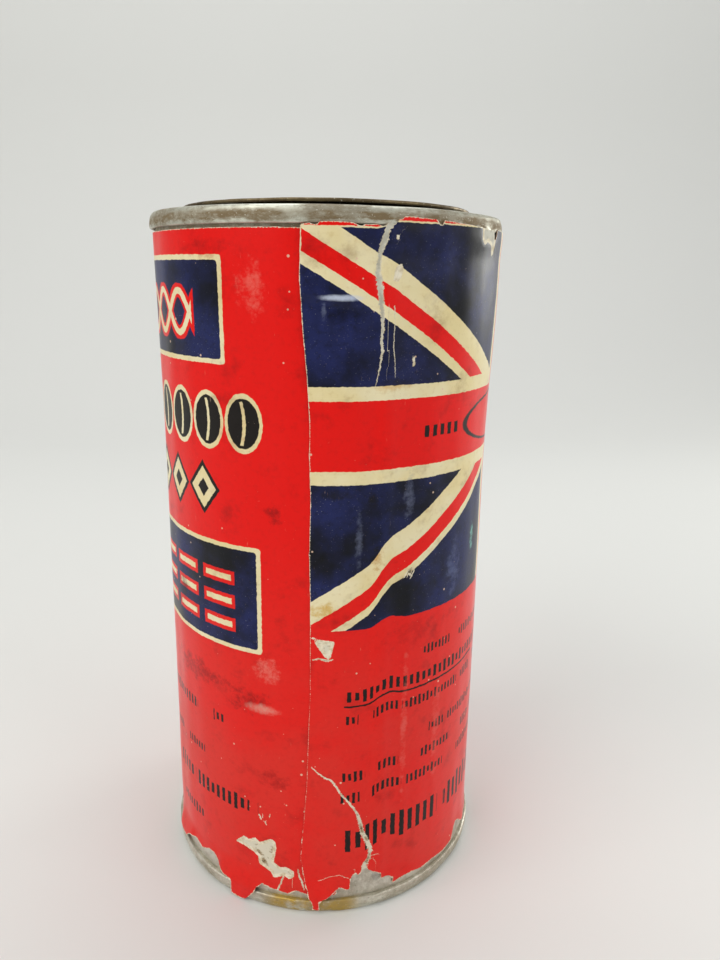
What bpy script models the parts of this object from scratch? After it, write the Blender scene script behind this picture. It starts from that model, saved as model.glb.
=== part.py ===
# Press-lid coffee tin with a wrapped paper label, a three-piece soldered can
# of 3 by 6 inches. Millimetres below, turned to metres where meshes are made.
# The origin is the middle of the base, +Z runs up the can's axis and -Y is
# the side where the label's lap lies.
from math import cos, hypot, radians, sin

import bmesh
import bpy
from mathutils import Matrix

MM = 0.001

# Driving dimensions
SEAM_RADIUS = 38.1        # outside of both double seams
SEAM_TOP = 150.1          # base to the top of the upper seam
SEAM_HEIGHT = 3.3
PLATE = 0.25              # tinplate of the body and both ends
BODY_RADIUS = 36.75       # outside of the rolled body
LAYER_GAP = 0.1           # between the folded layers of a seam
MOUTH_RADIUS = 28.85      # inside of the ring's mouth
MOUTH_TOP = 150.75        # top of the ring's mouth bead
MOUTH_DEPTH = 5.6         # mouth bead's top to the end of its inner wall
LID_GAP = 0.2             # between the lid's plug and the mouth, all round
LID_RADIUS = 31.0         # outside of the lid's rolled edge
LID_TOP = 151.65          # base to the top of the lid's edge
LID_DEPTH = 7.0           # lid's edge to the underside of its recessed panel
COUNTERSINK = 3.3         # how far both ends' panels lie inside their seams
SOLDER = (4.0, 0.2)       # width and thickness of the side seam's solder
SOLDER_GAP = 0.15
SEAM_AZIMUTH = 18.75      # side seam, turned from -Y towards +X, degrees
LABEL_PLATE = 0.2         # paper with its paste
LABEL_RADIUS = 36.9       # inside of the label on the bare body
LAP_RISE = 0.35           # how far the label steps out over solder and lap
LABEL_SPAN = (3.9, 146.2)
LAP_START = 3.75          # azimuth of the hidden end, degrees
LAP_END = -366.2          # azimuth of the end that shows, once round the can
FACETS = 48               # sides of every turned piece, all in one phase

FACET_ANGLE = 360 / FACETS


def clear_scene():
    for item in list(bpy.data.objects):
        bpy.data.objects.remove(item, do_unlink=True)


def material(name, colour, roughness, metallic):
    made = bpy.data.materials.new(name)
    made.use_nodes = True
    shader = made.node_tree.nodes["Principled BSDF"]
    shader.inputs["Base Color"].default_value = (*colour, 1)
    shader.inputs["Roughness"].default_value = roughness
    shader.inputs["Metallic"].default_value = metallic
    return made


def bent(corners):
    """Points of a path whose corners (r, z, bend) are each cut to a bend."""
    points = []
    for i, (r, z, bend) in enumerate(corners):
        if not bend:
            points.append((r, z))
            continue
        for other in (corners[i - 1], corners[i + 1]):
            away = hypot(other[0] - r, other[1] - z)
            points.append((r + (other[0] - r) * bend / away,
                           z + (other[1] - z) * bend / away))
    return points


def unit_normal(start, end):
    run, rise = end[0] - start[0], end[1] - start[1]
    length = hypot(run, rise)
    return -rise / length, run / length


def plate_outline(path, thickness):
    """Both faces of a plate whose middle follows the path."""
    left, right = [], []
    last = len(path) - 1
    for i, (r, z) in enumerate(path):
        before = unit_normal(path[max(i - 1, 0)], path[max(i, 1)])
        after = unit_normal(path[min(i, last - 1)], path[min(i + 1, last)])
        along = before[0] + after[0], before[1] + after[1]
        reach = thickness / (along[0] * after[0] + along[1] * after[1]) / 2
        left.append((r + along[0] * reach, z + along[1] * reach))
        right.append((r - along[0] * reach, z - along[1] * reach))
    return left + right[::-1]


def add_object(name, mesh, finish, parent):
    item = bpy.data.objects.new(name, mesh)
    bpy.context.collection.objects.link(item)
    item.parent = parent
    item.matrix_parent_inverse = parent.matrix_world.inverted()
    mesh.materials.append(finish)
    return item


def turned(name, outline, finish, parent, closed=True):
    """Spin an outline of (r, z) points about the can's axis."""
    shape = bmesh.new()
    verts = [shape.verts.new((max(r, 0) * MM, 0, z * MM)) for r, z in outline]
    edges = [shape.edges.new(pair) for pair in zip(verts, verts[1:])]
    if closed:
        edges.append(shape.edges.new((verts[-1], verts[0])))
    bmesh.ops.spin(shape, geom=verts + edges, cent=(0, 0, 0), axis=(0, 0, 1),
                   angle=radians(360), steps=FACETS)
    bmesh.ops.remove_doubles(shape, verts=shape.verts, dist=0.001 * MM)
    bmesh.ops.recalc_face_normals(shape, faces=shape.faces)
    mesh = bpy.data.meshes.new(name)
    shape.to_mesh(mesh)
    shape.free()
    mesh.shade_smooth()
    mesh.set_sharp_from_angle(angle=radians(35))
    return add_object(name, mesh, finish, parent)


def upside_down(path):
    """The same seam at the other end of the can."""
    return [(r, SEAM_TOP - z, bend) for r, z, bend in path]


def seam_layers():
    """Middle radius of each layer, from the outer wall to the chuck wall."""
    wall = SEAM_RADIUS - PLATE / 2
    body = BODY_RADIUS - PLATE / 2
    pitch = PLATE + LAYER_GAP
    end_hook = body + pitch
    body_hook = end_hook + pitch
    chuck_wall = body - pitch
    return wall, body_hook, end_hook, body, chuck_wall


def seamed_edge():
    """The end's half of the upper double seam, hook first, down to the
    corner between its chuck wall and its panel."""
    wall, _, end_hook, _, chuck_wall = seam_layers()
    low = SEAM_TOP - SEAM_HEIGHT + PLATE / 2
    top = SEAM_TOP - PLATE / 2
    hook_tip = SEAM_TOP - 1.3
    return [(end_hook, hook_tip, 0), (end_hook, low, 0.15), (wall, low, 0.3),
            (wall, top, 0.6), (chuck_wall, top, 0.35),
            (chuck_wall, SEAM_TOP - COUNTERSINK, 0.5)]


def make_body(tin, can):
    """Rolled wall, its edges turned out and folded into both seams."""
    _, hook, _, wall, _ = seam_layers()
    bend = SEAM_TOP - 0.95
    hook_tip = SEAM_TOP - SEAM_HEIGHT + 0.65
    top = [(hook, hook_tip, 0), (hook, bend, 0.3), (wall, bend, 0.3)]
    path = bent(top + upside_down(top)[::-1])
    turned("body_shell", plate_outline(path, PLATE), tin, can)


def make_solder(solder, can):
    """Flat strip along the facet that carries the body's lapped seam."""
    width, thickness = SOLDER
    low = SEAM_HEIGHT + 0.4
    high = SEAM_TOP - SEAM_HEIGHT - 0.4
    apothem = BODY_RADIUS * cos(radians(FACET_ANGLE / 2))
    out = apothem + SOLDER_GAP + thickness / 2
    place = (Matrix.Rotation(radians(SEAM_AZIMUTH), 4, "Z")
             @ Matrix.Translation((0, -out * MM, (low + high) / 2 * MM))
             @ Matrix.Diagonal((width * MM, thickness * MM,
                                (high - low) * MM, 1)))
    shape = bmesh.new()
    bmesh.ops.create_cube(shape, size=1, matrix=place)
    mesh = bpy.data.meshes.new("side_seam_solder")
    shape.to_mesh(mesh)
    shape.free()
    add_object("side_seam_solder", mesh, solder, can)


def make_top_ring(tin, can):
    """Seamed ring with a sunk panel and a bead round the lid's mouth."""
    inner = MOUTH_RADIUS + PLATE / 2
    crown = MOUTH_TOP - PLATE / 2
    panel = SEAM_TOP - COUNTERSINK
    path = bent(seamed_edge() + [
        (inner + 1.9, panel, 0.5), (inner + 1.2, crown, 0.4),
        (inner, crown, 0.4), (inner, MOUTH_TOP - MOUTH_DEPTH, 0)])
    turned("top_ring", plate_outline(path, PLATE), tin, can)


def make_bottom_end(tin, can):
    """Seamed disc, sunk so that the can stands on its seam, with two
    pressed rings in its panel."""
    panel = SEAM_TOP - COUNTERSINK
    beads = []
    for outer in (31.5, 24.5):
        beads += [(outer, panel, 0), (outer - 0.8, panel - 0.7, 0),
                  (outer - 3.2, panel - 0.7, 0), (outer - 4, panel, 0)]
    path = bent(upside_down(seamed_edge() + beads + [(0, panel, 0)]))
    outline = plate_outline(path, PLATE)
    turned("bottom_end", meet_axis(outline), tin, can, closed=False)


def meet_axis(outline):
    """Start and finish the outline on the axis, where the path ends."""
    middle = len(outline) // 2
    return outline[middle:] + outline[:middle]


def make_compound(name, z_low, rubber, can):
    """Ring of lining compound inside the fold of a seam."""
    wall, body_hook, end_hook, _, _ = seam_layers()
    thickness = 0.3
    outline = [(end_hook, z_low), (body_hook, z_low),
               (body_hook, z_low + thickness), (end_hook, z_low + thickness)]
    turned(name, outline, rubber, can)


def make_lid(tin, lid):
    """Press-in lid: sunk panel, plug wall and a flange with a rolled edge."""
    plug = MOUTH_RADIUS - LID_GAP - PLATE / 2
    edge = LID_RADIUS - PLATE / 2
    panel = LID_TOP - LID_DEPTH + PLATE / 2
    flange = MOUTH_TOP + LID_GAP + PLATE / 2
    top = LID_TOP - PLATE / 2
    path = bent([
        (edge - 0.45, flange + 0.05, 0), (edge, flange + 0.05, 0.12),
        (edge, top, 0.15), (edge - 1.0, top - 0.1, 0),
        (plug, flange, 0.45), (plug, panel, 0.5),
        (plug - 3.5, panel, 0), (plug - 4.3, panel + 0.8, 0),
        (0, panel + 0.8, 0)])
    outline = plate_outline(path, PLATE)
    turned("lever_lid", meet_axis(outline), tin, lid, closed=False)


def make_label(paper, can):
    """Sheet wrapped once round with its ends lapped over the solder."""
    bumps = {SEAM_AZIMUTH - FACET_ANGLE / 2, SEAM_AZIMUTH + FACET_ANGLE / 2}
    over_seam = max(bumps) - 360
    turns = [LAP_START]
    turns += [-FACET_ANGLE * i for i in range(FACETS + 1)] + [LAP_END]
    low, high = LABEL_SPAN
    middle = LABEL_RADIUS + LABEL_PLATE / 2
    shape = bmesh.new()
    rows = []
    for turn in turns:
        radius = middle + (LAP_RISE if turn <= over_seam else 0)
        angle = radians(turn)
        x, y = radius * sin(angle) * MM, -radius * cos(angle) * MM
        rows.append([shape.verts.new((x, y, z * MM)) for z in (low, high)])
    for (a, b), (c, d) in zip(rows, rows[1:]):
        shape.faces.new((a, b, d, c))
    mesh = bpy.data.meshes.new("paper_label")
    shape.to_mesh(mesh)
    shape.free()
    mesh.shade_smooth()
    label = add_object("paper_label", mesh, paper, can)
    wall = label.modifiers.new("thickness", "SOLIDIFY")
    wall.thickness = LABEL_PLATE * MM
    wall.offset = 0
    wall.use_even_offset = True


def main():
    clear_scene()
    can = bpy.data.objects.new("can", None)
    lid = bpy.data.objects.new("lid", None)
    lid.location = (0, 0, MOUTH_TOP * MM)
    for empty in (can, lid):
        bpy.context.collection.objects.link(empty)
    bpy.context.view_layer.update()
    tin = material("tinplate", (0.45, 0.44, 0.39), 0.42, 1)
    solder = material("solder", (0.35, 0.34, 0.32), 0.5, 1)
    rubber = material("lining_compound", (0.24, 0.25, 0.23), 0.8, 0)
    paper = material("printed_paper", (0.72, 0.03, 0.02), 0.4, 0)
    make_body(tin, can)
    make_solder(solder, can)
    make_top_ring(tin, can)
    make_compound("top_seam_compound", SEAM_TOP - 0.7, rubber, can)
    make_bottom_end(tin, can)
    make_compound("bottom_seam_compound", 0.4, rubber, can)
    make_lid(tin, lid)
    make_label(paper, can)


main()
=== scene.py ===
import math
from functools import partial

import bmesh
import bpy
import numpy as np
from mathutils import Matrix, Vector


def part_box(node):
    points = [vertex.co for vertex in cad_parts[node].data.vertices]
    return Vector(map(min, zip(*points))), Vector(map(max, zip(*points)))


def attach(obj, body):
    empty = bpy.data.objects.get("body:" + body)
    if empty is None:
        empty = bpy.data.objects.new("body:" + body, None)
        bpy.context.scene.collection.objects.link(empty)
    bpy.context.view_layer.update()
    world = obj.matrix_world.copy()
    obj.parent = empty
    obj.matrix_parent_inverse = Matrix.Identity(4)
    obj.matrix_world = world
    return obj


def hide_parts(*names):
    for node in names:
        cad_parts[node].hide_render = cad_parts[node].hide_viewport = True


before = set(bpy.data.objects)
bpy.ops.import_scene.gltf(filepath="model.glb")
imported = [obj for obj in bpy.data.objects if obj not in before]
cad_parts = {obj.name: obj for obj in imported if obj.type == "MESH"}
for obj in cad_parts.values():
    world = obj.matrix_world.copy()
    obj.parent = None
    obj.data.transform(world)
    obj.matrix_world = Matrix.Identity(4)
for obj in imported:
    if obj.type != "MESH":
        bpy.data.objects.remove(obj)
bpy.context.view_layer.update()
print("frame loaded:", ", ".join(sorted(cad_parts)))

mm = 0.001
soft = {"interpolation_type": "SMOOTHSTEP"}
uvUnit = 100.0    # millimetres on the sheet in one unit of its UV maps


def linear(hexColour):
    channels = [int(hexColour[i:i + 2], 16) / 255 for i in (1, 3, 5)]
    return [c / 12.92 if c <= 0.04045 else ((c + 0.055) / 1.055) ** 2.4 for c in channels] + [1]


def feed(node, sockets):
    # Links or sets a node's sockets, by name or by place. Colours are given in hex.
    for key, value in sockets.items():
        if isinstance(value, bpy.types.NodeSocket):
            node.id_data.links.new(value, node.inputs[key])
        else:
            node.inputs[key].default_value = linear(value) if isinstance(value, str) else value


def addNode(tree, kind, *inputs, out=0, **named):
    # Capitalised names are sockets and the others settings. A kind in capitals is the operation
    # of a Math node.
    made = tree.nodes.new("ShaderNode" + ("Math" if kind.isupper() else kind))
    if kind.isupper():
        made.operation = kind
    sockets = dict(enumerate(inputs))
    for name, value in named.items():
        if name[0].isupper():
            sockets[name] = value
        else:
            setattr(made, name, value)
    feed(made, sockets)
    return made.outputs[out]


def newMaterial(name, **sockets):
    # Gives the material, addNode bound to its tree, and its shader.
    made = bpy.data.materials.new(name)
    made.use_nodes = True
    shader = made.node_tree.nodes["Principled BSDF"]
    feed(shader, {key.replace("_", " "): value for key, value in sockets.items()})
    return made, partial(addNode, made.node_tree), shader


def linkObject(name, data):
    made = bpy.data.objects.new(name, data)
    bpy.context.collection.objects.link(made)
    return made


def smooth(low, high, value):
    t = np.clip((value - low) / (high - low), 0, 1)
    return t * t * (3 - 2 * t)


def bell(value, centre, width):
    return np.exp(-((value - centre) / width) ** 2)


def ripples(x, z, count, wavelengths, stretch, seed):
    # A sum of sine waves of many directions, whole ones round the can; stretch draws them out along z.
    dice = np.random.default_rng(seed)
    total = np.zeros_like(x)
    for _ in range(count):
        length = dice.uniform(*wavelengths)
        turn = dice.uniform(0, math.tau)
        across = round(girth * math.cos(turn) / length) / girth
        along = math.sin(turn) / length / stretch
        total += np.sin(math.tau * (x * across + z * along) + dice.uniform(0, math.tau))
    return total / math.sqrt(count)


# x is millimetres round the can from the side that faces the camera, positive
# to the right, z millimetres above the base.
labelSheet = {
    "radius": 37.12,          # of the printed face, which sets millimetres to degrees
    "thickness": 0.16,
    "start": -6.2,            # past the flap's edge, where the grid begins
    "end": 236.0,             # the other end, hidden under the flap
    "lapLift": 0.2,
    "ridge": (11.7, 1.9, 0.34),   # side seam: place, half width, height
    "printShift": (1.0, -1.35),   # how far the print left of the ridge has slipped
    "seamFace": 38.3,         # radius where the sheet lies over a double seam
}

girth = math.tau * labelSheet["radius"]

# The sheet's outline: the flap's edge going down, the lower edge, and the upper edge coming back.
lapEdge = [(-4.6, 150), (-4.6, 146), (-4.9, 138), (-4.3, 128), (-3.6, 120), (-3.15, 112),
           (-3.2, 104), (-3.0, 96), (-3.25, 86), (-3.1, 76), (-3.1, 68), (-3.1, 55),
           (-3.5, 44), (-3.9, 32), (-4.8, 20), (-5.2, 14), (-4.4, 8), (-3.6, 5.5), (-3.5, 4.3)]

lowerEdge = [(-3.5, 4.3), (-2.7, 3), (-2.5, 1.2), (-1, 1), (-1.2, 3.3), (0.5, 4.1), (2, 5.5),
             (3.5, 6.3), (5.6, 5.2), (5.8, 8.5), (6.8, 9.8), (7.5, 9), (8.8, 10.5), (10.5, 9.5),
             (12.7, 8.3), (12.8, 7), (15, 6.5), (16, 5.8), (15.8, 4.3), (18, 4.8), (21, 5.2),
             (24, 4.5), (28, 4.7), (33, 4.3), (36, 4.6), (38, 7), (39, 7.8), (41, 7), (44, 4.5),
             (48, 3.9), (60, 4.6), (66, 5.6), (69, 9), (71, 9.6), (73, 6), (77, 4.4), (92, 4.1),
             (104, 4.9), (118, 4.2), (126, 5.2), (129, 7.4), (133, 7), (136, 4.6), (150, 4),
             (163, 4.7), (172, 4), (180, 4.4), (184, 6.2), (187, 4.2), (189.2, 3.9),
             (192.2, 4), (194.2, 5.8), (197.2, 6.5), (200.2, 5.6), (203.2, 7.2), (204.7, 7.2),
             (206.7, 5.4), (208.7, 4.4), (211.1, 4.0), (211.2, 0.4), (215.2, 0.35), (217.2, 3.2),
             (218.2, 5), (219.2, 5.8), (220.7, 4.8), (225.2, 4.3), (226.7, 5.3), (229.7, 4.3),
             (236, 4.4)]

upperEdge = [(236, 146.1), (222, 146.2), (205, 146.15), (190, 146.1), (170, 146.3),
             (150, 146.5), (120, 147.0), (90, 147.3), (60, 147.3), (46, 147.4), (41.2, 147.5),
             (40.9, 146.2), (40.3, 145.2), (39.9, 145.6), (39.6, 147.1), (37.2, 147.2),
             (35.4, 147.4), (31, 147.6), (26, 147.9), (21.8, 148.1), (21.6, 147.3),
             (20.7, 147.3), (20.4, 148.2), (16, 148.4), (13.6, 148.4), (12.9, 147.9),
             (11.2, 147.6), (10.6, 147.2), (9.6, 146.6), (8.3, 146.9), (6.3, 146.8),
             (5.9, 146.5), (5.2, 146.5), (4.9, 146.9), (4.2, 147.1), (1.5, 147.2), (-1.3, 147.2),
             (-1.8, 146.6), (-2.4, 146.6), (-2.9, 146.9), (-3.6, 146.8), (-4.6, 146.5)]


def polygonDistance(x, z, corners):
    # Signed distance to a closed outline, positive inside.
    nearest = np.full(x.shape, 1e9)
    inside = np.zeros(x.shape, bool)
    for (x0, z0), (x1, z1) in zip(corners, corners[1:] + corners[:1]):
        dx, dz = x1 - x0, z1 - z0
        t = np.clip(((x - x0) * dx + (z - z0) * dz) / (dx * dx + dz * dz + 1e-12), 0, 1)
        nearest = np.minimum(nearest, np.hypot(x - x0 - t * dx, z - z0 - t * dz))
        crosses = (z0 > z) != (z1 > z)
        inside ^= crosses & (x < dx * (z - z0) / (dz if dz else 1e-12) + x0)
    return np.where(inside, nearest, -nearest)


def crackFields(x, z, cracks):
    # Which side of the nearest crack a point lies on, how far off, and how wide the crack is there.
    side = np.full(x.shape, 4.0)
    half = np.full(x.shape, -1.0)
    nearest = np.full(x.shape, 1e9)
    for line in cracks:
        for (x0, z0, w0), (x1, z1, w1) in zip(line, line[1:]):
            dx, dz = x1 - x0, z1 - z0
            length = math.hypot(dx, dz)
            along = ((x - x0) * dx + (z - z0) * dz) / length ** 2
            t = np.clip(along, 0, 1)
            away = np.hypot(x - x0 - t * dx, z - z0 - t * dz)
            past = np.abs(along - t) * length
            across = ((x - x0) * dz - (z - z0) * dx) / length
            closer = away < nearest
            nearest = np.where(closer, away, nearest)
            side = np.where(closer, np.where(away < 2.5, across, 4.0), side)
            width = (w0 + (w1 - w0) * t) / 2 - past
            half = np.where(closer, np.where(away < 2.5, width, -1.0), half)
    return side, half


# Cracks as (x, z, width), widest where the paper has opened; a crease is a thin one.
labelCracks = [
    [(12.4, 148.6, 1.2), (11.4, 147.6, 1.7), (10.4, 146.2, 1.2), (10.1, 144.6, 1.4),
     (9.5, 142.8, 1.1), (9.2, 140.6, 0.9), (9.0, 139.2, 1.2), (9.3, 137.4, 1.5),
     (9.6, 135.6, 1.25), (9.8, 133.6, 1.15), (10.1, 131.2, 0.8), (10.2, 128.8, 0.65),
     (10.0, 126.8, 0.6), (10.3, 124.8, 0.5), (9.9, 122.3, 0.35), (9.4, 119.5, 0.15),
     (9.1, 118, 0.05)],
    [(-2.9, 37.4, 0.2), (-0.3, 35, 0.4), (1.5, 34, 0.5), (3.5, 30.5, 0.45), (5.5, 27.8, 0.55),
     (7, 25.5, 0.6), (7.8, 22.5, 1.0), (8.3, 20, 1.0), (9.5, 17.5, 1.15), (10.3, 15, 1.2),
     (9.8, 13, 0.6), (9.0, 11.5, 1.4), (8.9, 10, 1.8)],
    [(10.1, 13.6, 0.25), (11.3, 13.9, 0.15), (12.3, 13.6, 0.05)],
    [(-2.7, 62.6, 0.3), (-1.2, 62.9, 0.4), (0.3, 62.4, 0.5), (1.7, 62.7, 0.2)],
    [(-9.2, 8.6, 0.5), (-9.9, 6.4, 0.35), (-10.7, 4.0, 0.5)],
    [(-5.9, 11.0, 0.3), (-5.6, 9.2, 0.45), (-4.9, 7.4, 0.5), (-4.5, 5.6, 0.25)],
    [(-1.5, 8.3, 0.1), (0.8, 9.3, 0.12), (3.4, 9.6, 0.1), (5.4, 8.6, 0.1)],
    [(12.3, 133, 0.2), (12.5, 129.5, 0.12), (12.3, 126, 0.2), (12.8, 122.5, 0.15),
     (12.9, 119.8, 0.05)],
    [(-14.7, 23.4, 0.45), (-14.3, 22.3, 0.5)], [(-13.4, 22, 0.35), (-13.1, 21.2, 0.35)],
    [(-12.2, 24.1, 0.3), (-12.4, 23, 0.3)], [(17.9, 78.4, 0.5), (18.9, 80.1, 0.3)],
    [(16.5, 79.0, 0.35), (17.4, 80.3, 0.4), (18.9, 81.2, 0.15)],
    [(-53.2, 92, 0.1), (-53.8, 86, 0.9), (-53.4, 80, 1.3), (-52.8, 75, 0.7), (-52.4, 69, 0.1)],
    [(96, 20, 0.1), (99, 34, 0.25), (98, 49, 0.1)],
    [(141, 12, 0.4), (143.5, 20, 0.3), (142.6, 31, 0.1)],
]

# Patches where the paper's printed face has torn off, leaving its core or the tin.
labelTears = [
    [(-21.2, 14.2), (-18.8, 16.6), (-17.5, 16), (-16, 17.1), (-14.8, 16.2), (-12, 17.8),
     (-11, 17.2), (-10.8, 15.5), (-11.5, 11.8), (-10, 10.8), (-8.5, 11.2), (-6.8, 10.3),
     (-6.8, 8.8), (-7.8, 8), (-9, 8.8), (-11.5, 7.6), (-12.2, 9), (-15, 10.5), (-15.2, 12.3),
     (-16.5, 13.3), (-19, 14)],
    [(-3.1, 67.7), (-0.6, 67.0), (1.9, 66.6), (1.4, 64.6), (0.9, 62.3), (-0.2, 63.3), (-1.4, 65.2)],
    [(11.9, 137.4), (12.0, 138.6), (12.5, 140.1), (13.5, 140.4), (13.9, 139.4), (13.4, 137.9),
     (12.8, 137.2)],
    [(12.0, 145.2), (12.6, 145.3), (12.8, 144.3), (12.2, 144.4)],
    [(33.4, 148), (33.6, 145.4), (34.8, 144.4), (36.4, 144.9), (38.4, 144.2), (39.2, 142.4),
     (40.1, 142.2), (40.6, 145.2), (40.9, 148)],
    [(16.4, 123.7), (17.0, 123.9), (17.3, 122.2), (16.8, 121.5)],
    [(118, 96), (121, 97.5), (123, 95.6), (121.6, 92.8), (119, 93.2)],
    [(168, 9.2), (171, 11.8), (174.4, 10.9), (175, 8.8), (171.6, 7.4)],
]


def wrapped(lines):
    # What lies left of the flap's edge belongs to the far end of the sheet.
    moved = []
    for line in lines:
        far = min(point[0] for point in line) < -5.7
        moved.append([(x + girth, *rest) for x, *rest in line] if far else line)
    return moved


def labelRadius(x, z, edge, side, half, torn):
    # Where the sheet lies, as its distance from the axis.
    spec = labelSheet
    radius = np.full(x.shape, spec["radius"])
    radius += 0.26 * smooth(112, 143, z) - 0.12 * bell(z, 88, 30) + 0.1 * smooth(34, 12, z)
    # over the side seam, and the flap over the sheet's other end
    place, width, high = spec["ridge"]
    seamX = place + 0.35 * np.sin(z / 17)
    radius += high * np.exp(-np.abs((x - seamX) / width) ** 2.6)
    radius += spec["lapLift"] * (1 - smooth(4.5, 9.5, x))
    radius += 0.12 * bell(x, -4.2, 0.9) * smooth(60, 140, z)
    radius += 0.55 * bell(x, 50, 10) * smooth(105, 140, z)
    # over the upper seam right of the crack, over the lower seam where the sheet hangs down
    right = smooth(-6.5, -4.0, x) * (1 - smooth(140, 190, x))
    rise = spec["seamFace"] - radius
    radius += right * rise * (0.3 * smooth(104, 142, z) + 0.7 * smooth(141, 146.4, z))
    hangs = np.zeros_like(x)
    for low, high in ((-6, 1.2), (girth - 46, girth - 38.5), (girth - 25, girth - 15)):
        hangs = np.maximum(hangs, smooth(low - 3, low, x) * (1 - smooth(high, high + 3, x)))
    rise = spec["seamFace"] - radius
    radius += np.maximum(hangs, 0.16) * rise * smooth(9.5, 3.6, z)
    # the sheet's own waves, the flats rolled into the tin, and a pucker by the flap's edge
    radius += 0.035 * ripples(x, z, 14, (16, 40), 1.4, 3) + 0.014 * ripples(x, z, 16, (4, 9), 1.8, 5)
    flats = sum(np.sin(math.tau * x / girth * k + ph) for k, ph in ((23, 0.3), (31, 2.1), (17, 4.4)))
    radius += 0.024 * flats
    lowRight = smooth(86, 70, z) * smooth(8, 16, z)
    for centre, width, height in ((18.0, 1.1, 0.13), (27.2, 1.3, 0.1), (22.5, 2.4, -0.05)):
        radius += lowRight * height * bell(x, centre, width)
    slope = (z - 134.8) + (x + 2) * 0.18
    near = bell(x, 1.5, 4.6)
    radius += near * (0.5 * np.exp(-(slope / 0.7) ** 2) - 0.3 * np.exp(-((slope + 1.7) / 1.0) ** 2))
    second = (x + 1.2) * 0.8 + (z - 132.3) * 0.6
    radius += 0.2 * bell(second, 0, 0.6) * bell(z, 132, 2.6)
    # torn places sink by the depth of the sheet, and their rims and the lower edge curl out
    sunk = smooth(-0.12, 0.25, half - np.abs(side)) * smooth(0.1, 0.3, half)
    sunk = np.maximum(sunk, smooth(-0.15, 0.3, torn))
    lifted = smooth(1.6, 0.1, np.abs(np.abs(side) - half)) * smooth(0.15, 0.4, half)
    radius += 0.09 * lifted * (1 - sunk) - 0.13 * sunk
    curl = 0.5 + 0.5 * np.sin(x * 0.9 + 1.3 * np.sin(x * 0.37))
    radius += 0.09 * curl * smooth(2.6, 0, edge) * smooth(22, 10, z)
    return radius


def spaced(stops):
    # Grid lines from (place, spacing) stops: the spacing holds from each stop to the next.
    lines = []
    for (start, step), (end, _) in zip(stops, stops[1:]):
        count = max(1, round((end - start) / step))
        lines += [start + (end - start) * i / count for i in range(count)]
    return np.array(lines + [stops[-1][0]])


def cutSheet(columns, rows, field):
    # Keeps the part of a grid where field is above 0, cutting the cells on its edge.
    xs, zs = np.meshgrid(columns, rows, indexing="ij")
    keep = field > 0
    number = -np.ones(xs.shape, int)
    number[keep] = np.arange(keep.sum())
    points = list(zip(xs[keep], zs[keep]))
    cells = np.stack([keep[:-1, :-1], keep[1:, :-1], keep[1:, 1:], keep[:-1, 1:]])
    whole = cells.all(0)
    i, j = np.nonzero(whole)
    faces = np.stack([number[i, j], number[i + 1, j], number[i + 1, j + 1], number[i, j + 1]], 1)
    faces = faces.tolist()
    cuts, rim = {}, []
    for i, j in zip(*np.nonzero(cells.any(0) & ~whole)):
        ring = [(i, j), (i + 1, j), (i + 1, j + 1), (i, j + 1)]
        face, crossings = [], []
        for a, b in zip(ring, ring[1:] + ring[:1]):
            if keep[a]:
                face.append(number[a])
            if keep[a] != keep[b]:
                key = (min(a, b), max(a, b))
                if key not in cuts:
                    t = field[key[0]] / (field[key[0]] - field[key[1]])
                    p, q = key
                    cuts[key] = len(points)
                    points.append((xs[p] + t * (xs[q] - xs[p]), zs[p] + t * (zs[q] - zs[p])))
                crossings.append((cuts[key], bool(keep[a])))
                face.append(cuts[key])
        faces.append(face)
        leaving = [c for c, out in crossings if out]
        entering = [c for c, out in crossings if not out]
        rim += list(zip(leaving, entering))
    return np.array(points), faces, rim


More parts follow.
